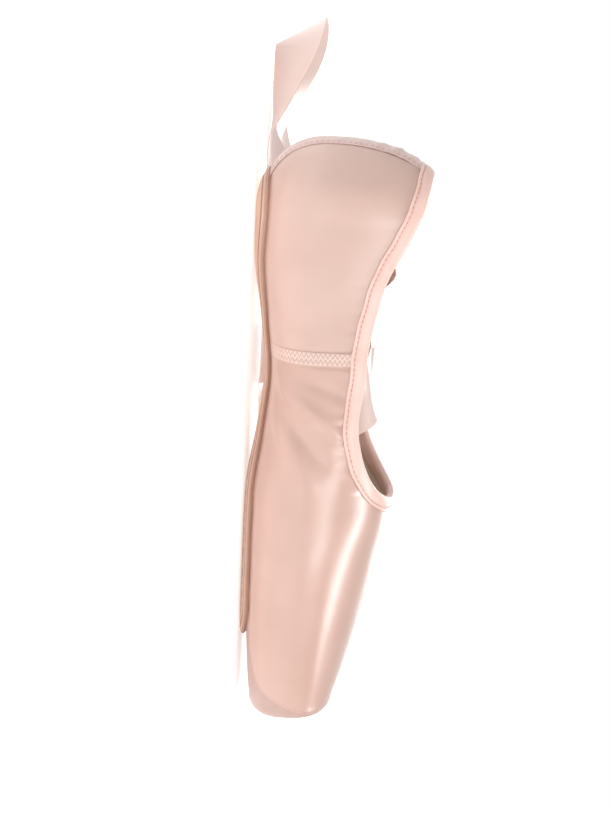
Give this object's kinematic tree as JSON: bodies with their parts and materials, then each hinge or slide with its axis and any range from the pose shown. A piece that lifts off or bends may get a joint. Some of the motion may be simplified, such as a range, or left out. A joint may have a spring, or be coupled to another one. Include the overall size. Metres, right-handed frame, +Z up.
{
  "type": "pointe shoe",
  "caption": "Pink satin pointe shoe, empty and unbent, with a stiff toe box, patterned leather sole, taped topline and loose ribbons.",
  "frame": {"origin": "on the floor, in the middle of the shoe's length and width, the ribbons left out", "axes": "+Y from the heel to the toe, +Z up, +X to the wearer's right"},
  "size_m": [0.2052, 0.2799, 0.0711],
  "materials": {
    "upper_satin": "satin",
    "topline_tape": "satin",
    "heel_strip_satin": "satin",
    "outsole_leather": "embossed",
    "insole_board": "matt",
    "ribbon_satin": "satin"
  },
  "bodies": {
    "root": {"upper": "upper_satin", "topline_binding": "topline_tape", "heel_strip": "heel_strip_satin", "outsole": "outsole_leather", "insole": "insole_board", "ribbon_right": "ribbon_satin", "ribbon_left": "ribbon_satin"}
  },
  "joints": []
}
